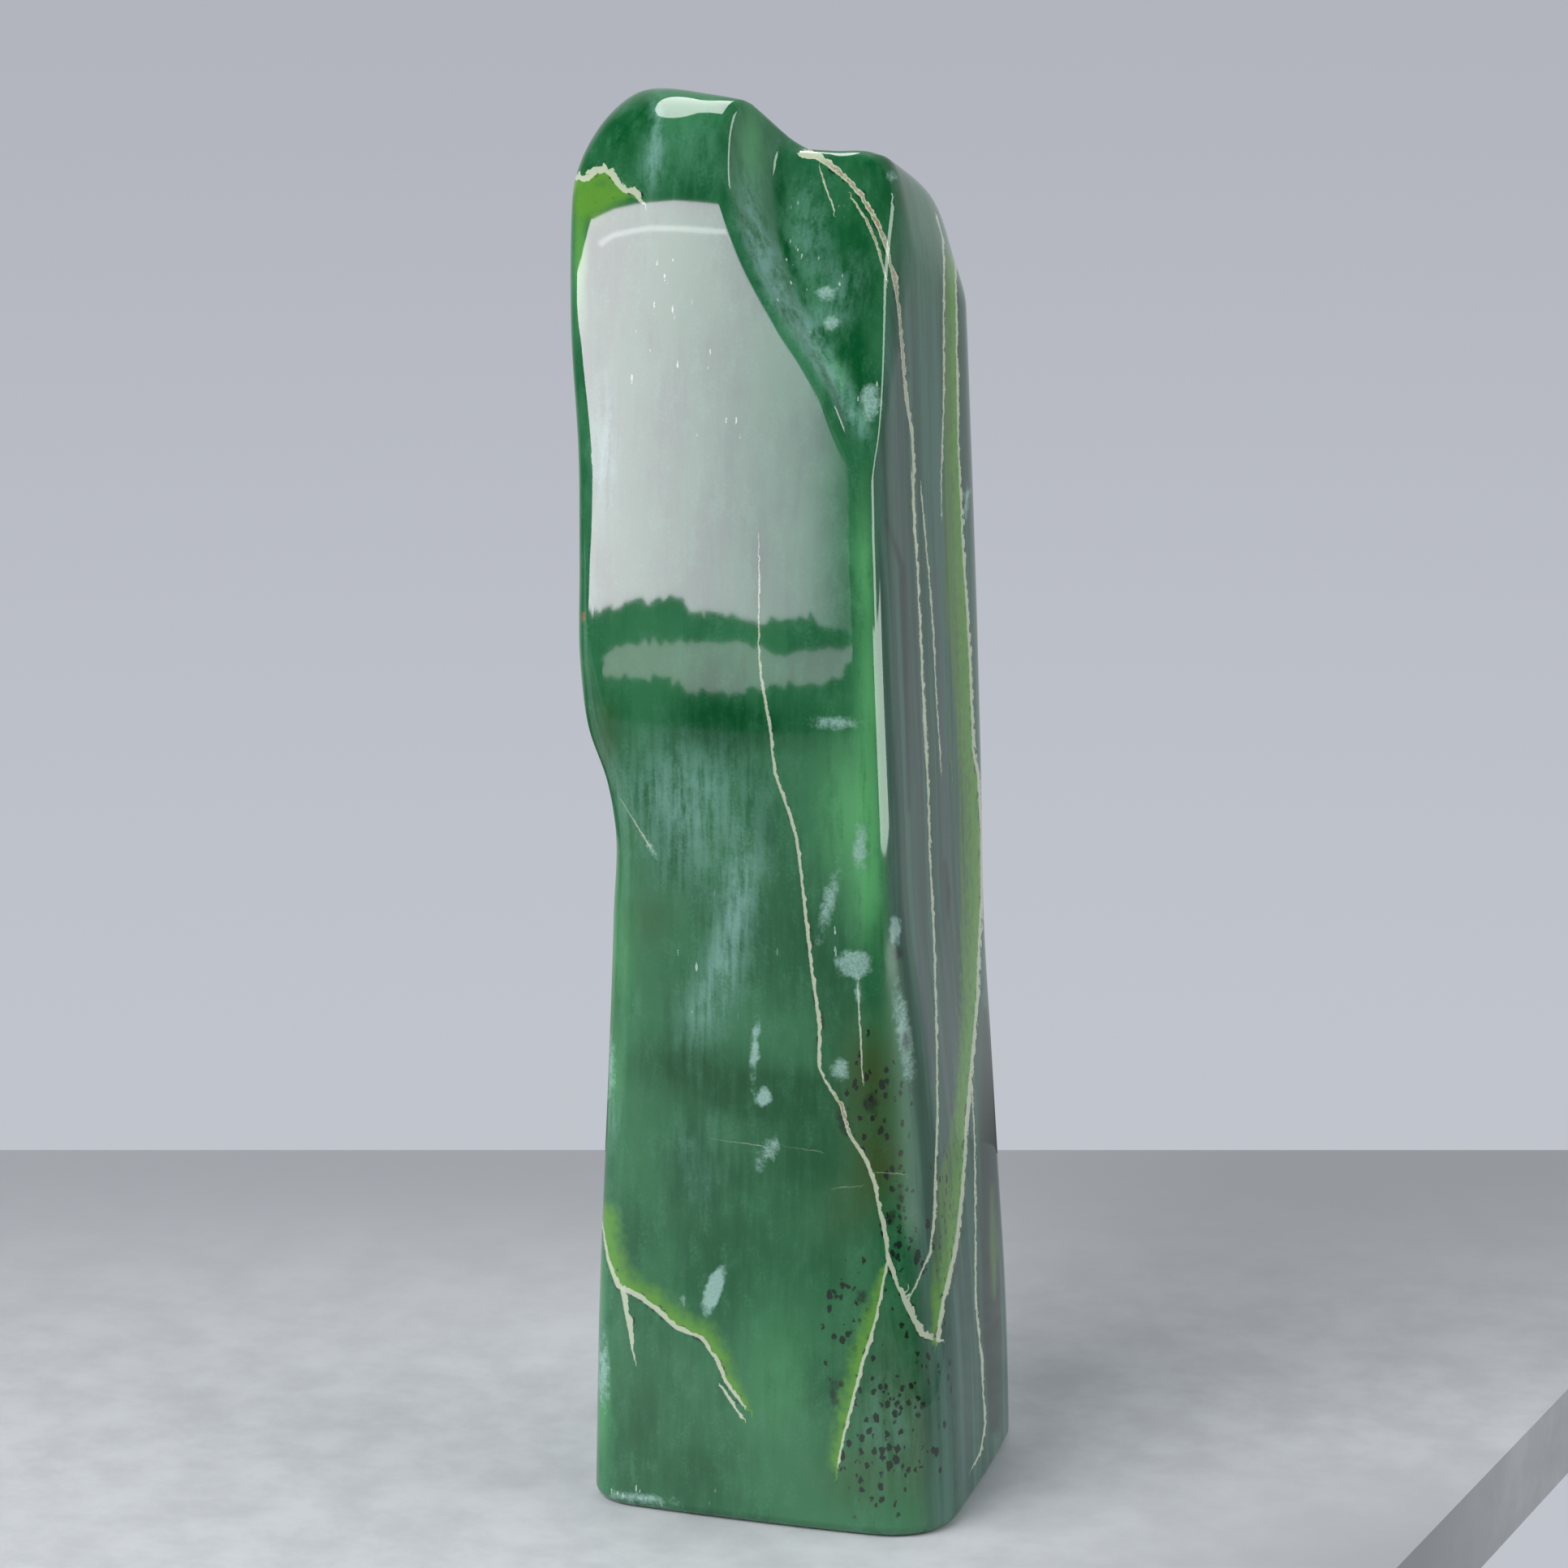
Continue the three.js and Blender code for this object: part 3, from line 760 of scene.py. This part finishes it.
EMERALD = srgb(2, 82, 40)
PINE = srgb(26, 96, 58)
LEAF = srgb(54, 122, 80)
MOSS = srgb(76, 140, 108)
GRASS = srgb(98, 180, 116)
HAZE_AND_REFLECTION = srgb(120, 170, 156)
LIME = srgb(98, 158, 58)
FERN = srgb(88, 132, 54)
OLIVE = srgb(58, 84, 36)
SLATE = srgb(36, 78, 64)
SLATE_LIGHT = srgb(70, 112, 98)
ASH = srgb(76, 88, 92)
CREAM = srgb(210, 220, 194)
PALE_TEAL = srgb(164, 204, 194)
FLECK = srgb(206, 226, 220)
BLACK_AND_SHADE = srgb(26, 34, 30)
RUST = srgb(150, 116, 84)


# Refraction of nephrite.
JADE_IOR = 1.62
POLISHED, POLISH_GRAIN, DULLED = 0.02, 0.03, 0.4
# Height of the slow waves and of the fine grain that the gloss shows.
WAVE_HEIGHT, GRAIN_HEIGHT = 0.2, 0.001
# A speck's smallest share of its full size, its soft rim, how ragged it is, and the rim of the choice of it.
SPECK_LEAST = 0.4
SPECK_RIM = 0.12
SPECK_RAG = 0.8
CHOICE_RIM = 0.03
# Makes a second chance number from a point's first.
RESHUFFLE = 7.3
# How far a vein's edges wander and fray, how soft they are, and how thin and thick it runs.
VEIN_WANDER = 0.5
VEIN_FRAY = 0.3
VEIN_RIM = 0.08
VEIN_THIN, VEIN_SWELL = 0.1, 1.5
# How unevenly a lime edge runs out, and the sharpness of its line along the vein.
LIME_RAG = 0.9
LIME_RIM = 0.02


def jade_ground(f, place):
    """The green body: clouds, upright fibres and the tints that the marks place, among them painted shade and
    a painted reflection.
    """
    clouds = f.noise(f.stretched(place, (1, 1, 0.6)), scale=0.07, detail=3.0)
    blotches = f.noise(f.stretched(place, (1, 1, 0.5)), scale=0.32, detail=4.0, roughness=0.6)
    fibres = f.noise(f.stretched(place, (1, 1, 0.09)), scale=0.6, detail=4.0, roughness=0.6)
    grain = f.noise(place, scale=1.6, detail=3.0, roughness=0.6)
    weave = fibres * 0.5 + blotches * 0.35 + grain * 0.15
    light = f.step(clouds * 0.6 + weave * 0.4, start=0.34, end=0.58)
    mossy = f.step(blotches * 0.6 + grain * 0.4, start=0.5, end=0.66)
    colour = f.lay(f.mix(light, PINE, LEAF), MOSS, mossy, cover=0.35)
    # Deep emerald, partly painted shade in the notch and a painted dark reflection under the mirrored strip.
    colour = f.lay(colour, EMERALD, f.mark("deep") * f.step(weave, start=0.85, end=0.4))
    colour = f.lay(colour, GRASS, f.mark("bright") * f.step(weave, start=0.2, end=0.52))
    colour = f.lay(colour, OLIVE, f.mark("olive") * f.step(grain + clouds, start=0.6, end=1.05))
    # Pale haze, partly a painted reflection down the notch wall.
    colour = f.lay(colour, HAZE_AND_REFLECTION, f.mark("haze_and_reflection") * f.step(weave, start=0.36, end=0.6))
    return colour, weave, grain


def jade_side(f, place, colour, weave):
    """The slate side with its long dark and light streaks, its bands of painted shade and the green strip
    along its far edge.
    """
    streaks = f.noise(f.stretched(place, (0.4, 1, 0.012)), scale=0.3, detail=3.0, roughness=0.6)
    slate = f.mix(f.step(streaks + (weave - 0.5) * 0.3, start=0.38, end=0.64), SLATE, SLATE_LIGHT)
    side = f.lay(slate, ASH, f.mark("ash") * f.step(streaks, start=0.3, end=0.62), cover=0.9)
    # Painted shade, near-black, where the marks say shade.
    side = f.lay(side, BLACK_AND_SHADE, f.mark("shade"), cover=0.95)
    colour = f.lay(colour, side, f.mark("slate"), cover=0.9)
    green = f.mark("fern") * f.step(streaks + (weave - 0.5) * 0.6, start=0.2, end=0.55)
    return f.lay(colour, FERN, green, cover=0.85)


def jade_specks(f, colour, shade, cells, grain, share, size, cover):
    """Specks of one shade at a share of the scattered points."""
    near, chance = cells
    reach = (chance * (1 - SPECK_LEAST) + SPECK_LEAST) * size
    chosen = f.step(f.math("FRACT", chance * RESHUFFLE), start=share, end=share - CHOICE_RIM)
    inside = f.step(near + (grain - 0.5) * SPECK_RAG, start=reach, end=reach - SPECK_RIM)
    return f.lay(colour, shade, inside * chosen, cover)


def jade_flecks(f, place, colour, grain):
    """Pale upright flecks and black specks, as thick as the marks say."""
    pale = f.cells(f.stretched(place, (1, 1, 0.25)), scale=1.5)
    black = f.cells(f.stretched(place, (1, 1, 0.7)), scale=0.75)
    colour = jade_specks(f, colour, FLECK, pale, grain, share=f.mark("flecked") * 0.7, size=0.4, cover=0.75)
    return jade_specks(f, colour, BLACK_AND_SHADE, black, grain, share=f.mark("peppered"), size=0.6, cover=0.9)


def jade_patch(f, colour, name, shade, broken, rough, fine):
    """A patch with an uneven rim, whose inside may be broken by fine mottling."""
    uneven = (rough - 0.5) * (1.6 + 0.6 * broken) + (fine - 0.5) * (0.3 + 0.5 * broken)
    inside = f.step(f.mark(name) + uneven, start=-0.3 - 0.3 * broken, end=0.5 + 0.4 * broken)
    mottle = f.step(fine, start=0.25, end=0.7) * (0.2 + 0.25 * broken) + (0.8 - 0.3 * broken)
    return f.lay(colour, shade, inside * mottle, cover=0.9)


def lime_edge(f, colour, wander, lime, rough):
    """The lime rim on one side of a vein, full along its line and running out unevenly."""
    share = wander / lime
    rim = f.step(share + (rough - 0.5) * LIME_RAG, start=1.0, end=0.1) * f.step(share, -LIME_RIM, LIME_RIM)
    here = f.step(f.math("ABSOLUTE", lime), start=0.2, end=1.5)
    return f.lay(colour, LIME, rim * here, cover=0.95)


def jade_vein(f, colour, number, rough, fine):
    """A cream vein with ragged edges, its lime rim, the dark specks beside it and its brown heart."""
    gap, width, lime = f.mark_parts(f"vein_{number}")
    wander = gap + (rough - 0.5) * (width + VEIN_WANDER) + (fine - 0.5) * VEIN_FRAY
    size = f.math("ABSOLUTE", wander)
    colour = lime_edge(f, colour, wander, lime, rough)
    beside = f.step(size, start=width + 0.8, end=width + 0.1) * f.step(width, start=0.25, end=0.45)
    colour = f.lay(colour, BLACK_AND_SHADE, beside * f.step(rough, start=0.55, end=0.62))
    thick = width * (VEIN_THIN + VEIN_SWELL * rough)
    heart = f.step(size, start=thick * 0.8, end=thick * 0.3) * f.step(fine, start=0.36, end=0.5)
    cream = f.lay(CREAM, RUST, heart * f.mark("brown"), cover=0.8)
    core = f.step(size, start=thick + VEIN_RIM, end=thick - VEIN_RIM) * f.step(width, start=0.02, end=0.12)
    return f.lay(colour, cream, core, cover=0.85)


def jade_finish():
    """Polished jade: the ground, its side, crust, flecks and patches, and the veins over them."""
    material = bpy.data.materials.new("polished_jade")
    f = Finish(material)
    place = f.place()
    colour, weave, grain = jade_ground(f, place)
    colour = jade_side(f, place, colour, weave)
    colour = f.lay(colour, LIME, f.mark("lime") * f.step(grain, start=0.2, end=0.45))
    colour = f.lay(colour, RUST, f.step(f.mark("rusty"), start=0.4, end=0.7), cover=0.8)
    colour = jade_flecks(f, place, colour, grain)
    rough = f.noise(place, scale=0.55)
    fine = f.noise(place, scale=1.9, roughness=0.6)
    # The pale patches include a painted highlight and a painted reflection.
    for name, shade, broken in (("pale_patch_and_highlight", PALE_TEAL, 1.0), ("clean_patch", PALE_TEAL, 0.0),
                                ("dark_patch", BLACK_AND_SHADE, 0.6)):
        colour = jade_patch(f, colour, name, shade, broken, rough, fine)
    for number in range(VEIN_SETS):
        colour = jade_vein(f, colour, number + 1, rough, fine)
    height = f.noise(place, scale=0.05, detail=1.0, roughness=0.4) * WAVE_HEIGHT + fine * GRAIN_HEIGHT
    bump = f.node("ShaderNodeBump", None, {"Strength": 0.12, "Distance": 0.002, "Height": height})
    roughness = POLISHED + POLISH_GRAIN * grain + DULLED * f.mark("dull")
    inputs = {"Base Color": colour, "Roughness": roughness, "IOR": JADE_IOR, "Normal": bump}
    shader = f.node("ShaderNodeBsdfPrincipled", None, inputs)
    f.node("ShaderNodeOutputMaterial", None, {"Surface": shader})
    return material


def placed(point, middle):
    """A point in metres, moved as the stone was."""
    return tuple((c - m) * MM for c, m in zip(point, middle))


def add_camera(middle):
    back, _, _ = camera_axes()
    data = bpy.data.cameras.new("photo_camera")
    data.sensor_width = SENSOR_WIDTH
    data.lens = FOCAL_PIXELS * SENSOR_WIDTH / PHOTO_SIDE
    data.clip_start = NEAR_CLIP
    camera = bpy.data.objects.new("photo_camera", data)
    camera.location = placed(np.array(CAMERA_TARGET) + CAMERA_DISTANCE * back, middle)
    camera.rotation_euler = (math.pi / 2 - CAMERA_ELEVATION, 0, CAMERA_AZIMUTH)
    bpy.context.scene.collection.objects.link(camera)
    bpy.context.scene.camera = camera


def staged_mesh(name, corners, faces, material):
    """A plain mesh of the studio, which isn't part of the stone."""
    mesh = bpy.data.meshes.new(name)
    mesh.from_pydata([tuple(c * MM for c in corner) for corner in corners], [], faces)
    mesh.materials.append(material)
    thing = bpy.data.objects.new(name, mesh)
    bpy.context.scene.collection.objects.link(thing)
    return thing


TABLE_PALE = srgb(206, 209, 213)
TABLE_GREY = srgb(190, 193, 198)
TABLE_FAR_SHADE = srgb(158, 161, 166)
TABLE_SHADED = srgb(166, 169, 174)
TABLE_NEAR_SHADE = srgb(128, 132, 134)


def table_finish():
    """Pale and softly mottled, with painted shade: darker far behind, to the right, and ahead, where the
    stone mirrors it.
    """
    material = bpy.data.materials.new("pale_table")
    f = Finish(material)
    place = f.place()
    mottle = f.noise(place, scale=0.06, detail=5.0, roughness=0.65)
    behind = f.far_along(place, (-math.sin(CAMERA_AZIMUTH), math.cos(CAMERA_AZIMUTH), 0))
    right = f.far_along(place, (math.cos(CAMERA_AZIMUTH), math.sin(CAMERA_AZIMUTH), 0))
    colour = f.mix(f.step(mottle, start=0.3, end=0.7), TABLE_GREY, TABLE_PALE)
    # Painted shade far behind the stone.
    colour = f.mix(f.step(behind, start=0, end=TABLE_BEHIND), colour, TABLE_FAR_SHADE)
    beside = f.step(right, start=10, end=130) * f.step(behind, start=30, end=-60)
    colour = f.mix(beside, colour, TABLE_SHADED)
    # Painted shade ahead, which the stone mirrors.
    colour = f.mix(f.step(behind, start=-70, end=-170), colour, TABLE_NEAR_SHADE)
    shader = f.node("ShaderNodeBsdfPrincipled", None, {"Base Color": colour, "Roughness": 0.6})
    f.node("ShaderNodeOutputMaterial", None, {"Surface": shader})
    return material


def add_table():
    """A flat slab whose far edge and near edge lie square to two directions."""
    outline = []
    for azimuth, ahead in ((MIRROR_AZIMUTH, TABLE_AHEAD), (CAMERA_AZIMUTH, -TABLE_BEHIND)):
        forward = np.array((math.sin(azimuth), -math.cos(azimuth), 0))
        side = np.array((math.cos(azimuth), math.sin(azimuth), 0))
        outline.append((ahead * forward - TABLE_LEFT * side, ahead * forward + TABLE_RIGHT * side))
    ring = [outline[0][0], outline[0][1], outline[1][1], outline[1][0]]
    corners = [tuple(corner + np.array((0, 0, z))) for z in (-TABLE_THICKNESS, 0) for corner in ring]
    bottom, top = (3, 2, 1, 0), (4, 5, 6, 7)
    sides = [(i, (i + 1) % 4, (i + 1) % 4 + 4, i + 4) for i in range(4)]
    staged_mesh("table_top", corners, [bottom, top] + sides, table_finish())


# The lit window that the front face mirrors, its bright bar and the low strip under it: outlines by sideways
# place and height, this far from the stone.
CARD_DISTANCE = 700
WINDOW = [(-1000, 280), (-505, 330), (-299, 365), (-163, 398), (-144, 418), (-119, 431), (-87, 440),
          (300, 446), (300, 230), (150, 180), (112, 150), (108, 93), (94, 95), (72, 97), (55, 102), (16, 96),
          (-3, 99), (-43, 100), (-63, 108), (-96, 106), (-117, 100), (-389, 74), (-560, 60), (-330, 130),
          (-262, 160), (-520, 230), (-1000, 235)]
WINDOW_BAR = [(-150, 362), (-138, 375), (-121, 381), (-105, 386), (-74, 389), (-31, 393), (10, 397),
              (10, 404), (-31, 400), (-74, 396), (-105, 393), (-121, 388), (-140, 381), (-155, 368)]
STRIP = [(-121, 73), (-73, 81), (16, 83), (36, 77), (108, 87), (95, 60), (80, 55), (12, 48), (-43, 41),
         (-78, 50), (-140, 49)]
# Sides below a height are broken into steps of about this length, which stray this far.
RAG = 2.2
RAG_STEP = 5.0
RAG_BELOW = 110
# Where across a card its colour turns from left to right, and where the light may end, in this colour.
GLOW_SPAN = (-190, 130)
GLOW_END = (50, 118)
GLOW_SPENT = (0.03, 0.05, 0.04, 1)
# The bar's card stands this much nearer to the stone than the window's.
BAR_FORWARD = 5
# The tall card on the right, whose light runs down the front face's right edge and the ridge.
EDGE_CARD = [(-300, -100), (600, -100), (600, 70), (125, 70), (125, 800), (-85, 800), (-85, 70), (-300, 70)]
EDGE_CARD_AZIMUTH = math.radians(66)
EDGE_CARD_DISTANCE = 1200


def ragged(outline, seed):
    """An outline with its sides broken into small uneven steps."""
    dice = np.random.default_rng(seed)
    points = []
    for a, b in zip(outline, outline[1:] + outline[:1]):
        a, b = np.array(a, float), np.array(b, float)
        count = max(1, int(np.linalg.norm(b - a) / RAG_STEP)) if max(a[1], b[1]) < RAG_BELOW else 1
        for i in range(count):
            nudge = dice.normal(0, RAG, 2) if count > 1 and i else np.zeros(2)
            points.append(a + (b - a) * i / count + nudge)
    return points


def glow(name, left, right, strength, fade=0.0):
    """Light of one strength whose colour runs from left to right across a card, and may fade at the right."""
    material = bpy.data.materials.new(name)
    f = Finish(material)
    across = f.far_along(f.place(), (math.cos(MIRROR_AZIMUTH), math.sin(MIRROR_AZIMUTH), 0))
    colour = f.mix(f.step(across, *GLOW_SPAN), left, right)
    colour = f.lay(colour, GLOW_SPENT, f.step(across, *GLOW_END), cover=fade)
    shader = f.node("ShaderNodeEmission", None, {"Color": colour, "Strength": strength})
    f.node("ShaderNodeOutputMaterial", None, {"Surface": shader})
    return material


def add_card(name, outline, material, azimuth=MIRROR_AZIMUTH, distance=CARD_DISTANCE):
    """A flat glowing card that stands square to its direction and shows in the gloss alone."""
    ahead = np.array((math.sin(azimuth), -math.cos(azimuth), 0))
    side = np.array((math.cos(azimuth), math.sin(azimuth), 0))
    corners = [tuple(distance * ahead + s * side + np.array((0, 0, z))) for s, z in outline]
    card = staged_mesh(name, corners, [tuple(range(len(corners)))], material)
    card.visible_camera = False
    card.visible_diffuse = False
    card.visible_shadow = False


def add_light(name, azimuth, elevation, distance, size, power, mirrored, aim=0.14):
    """A soft oval light that looks at a height on the stone, either for its gloss or for its body colour."""
    a, e = math.radians(azimuth), math.radians(elevation)
    data = bpy.data.lights.new(name, "AREA")
    data.shape = "ELLIPSE"
    data.size, data.size_y = size
    data.energy = power
    light = bpy.data.objects.new(name, data)
    away = (math.sin(a) * math.cos(e), -math.cos(a) * math.cos(e), math.sin(e))
    light.location = [distance * c for c in away[:2]] + [aim + distance * away[2]]
    light.rotation_euler = (math.pi / 2 - e, 0, a)
    light.visible_camera = False
    light.visible_glossy = mirrored
    light.visible_diffuse = not mirrored
    bpy.context.scene.collection.objects.link(light)


def add_cards():
    """The glowing cards whose mirror images lie on the front face and down its right edge."""
    window = glow("window_glow", left=(1.08, 0.93, 1.08, 1), right=(0.31, 0.295, 0.37, 1), strength=9.0,
                  fade=1.0)
    add_card("window_light", ragged(WINDOW, seed=3), window)
    bar = glow("bar_glow", left=(1.1, 1.0, 1.1, 1), right=(0.5, 0.48, 0.54, 1), strength=12.0)
    add_card("window_bar", WINDOW_BAR, bar, distance=CARD_DISTANCE - BAR_FORWARD)
    strip = glow("strip_glow", left=(1.03, 0.96, 1.02, 1), right=(0.88, 0.86, 1.0, 1), strength=2.5)
    add_card("strip_light", ragged(STRIP, seed=5), strip)
    edge = glow("edge_glow", left=(1, 1, 1, 1), right=(0.9, 1, 0.94, 1), strength=6.0)
    add_card("edge_light", EDGE_CARD, edge, EDGE_CARD_AZIMUTH, EDGE_CARD_DISTANCE)


def add_lights():
    """One light for the gloss on the tops, and two for the body colour alone."""
    add_light("upper_light", azimuth=-100, elevation=65, distance=1.2, size=(1.5, 0.24), power=6.4,
              mirrored=True, aim=0.27)
    add_light("key_light", azimuth=-35, elevation=40, distance=2.0, size=(1.8, 1.8), power=46, mirrored=False)
    add_light("fill_light", azimuth=95, elevation=25, distance=2.0, size=(1.6, 1.6), power=18, mirrored=False)


WALL_LOW = srgb(192, 196, 204)
WALL_HIGH = srgb(176, 179, 188)
ROOM_PALE = srgb(182, 186, 190)
ROOM_DIM = srgb(60, 64, 64)


def room():
    """Even pale wall for the camera; for mirrored rays pale behind the stone and dark before it and below."""
    world = bpy.data.worlds.new("studio")
    bpy.context.scene.world = world
    f = Finish(world)
    way = f.node("ShaderNodeTexCoord", output="Generated")
    front = f.far_along(way, (math.sin(MIRROR_AZIMUTH), -math.cos(MIRROR_AZIMUTH), 0))
    height = f.far_along(way, (0, 0, 1))
    lit = f.mix(f.step(front, start=-0.3, end=0.25), ROOM_PALE, ROOM_DIM)
    lit = f.mix(f.step(height, start=-0.25, end=-0.31), lit, ROOM_DIM)
    wall = f.mix(f.step(height, start=-0.32, end=-0.03), WALL_LOW, WALL_HIGH)
    seen = f.node("ShaderNodeLightPath", output="Is Camera Ray")
    background = f.node("ShaderNodeBackground", None, {"Color": f.mix(seen, lit, wall)})
    f.node("ShaderNodeOutputWorld", None, {"Surface": background})


bpy.context.scene.view_settings.view_transform = "Standard"
jade, stone_middle = stone_piece()
jade.data.materials.append(jade_finish())
add_camera(stone_middle)
add_table()
add_cards()
add_lights()
room()
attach(jade, "root")
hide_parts(NODE)
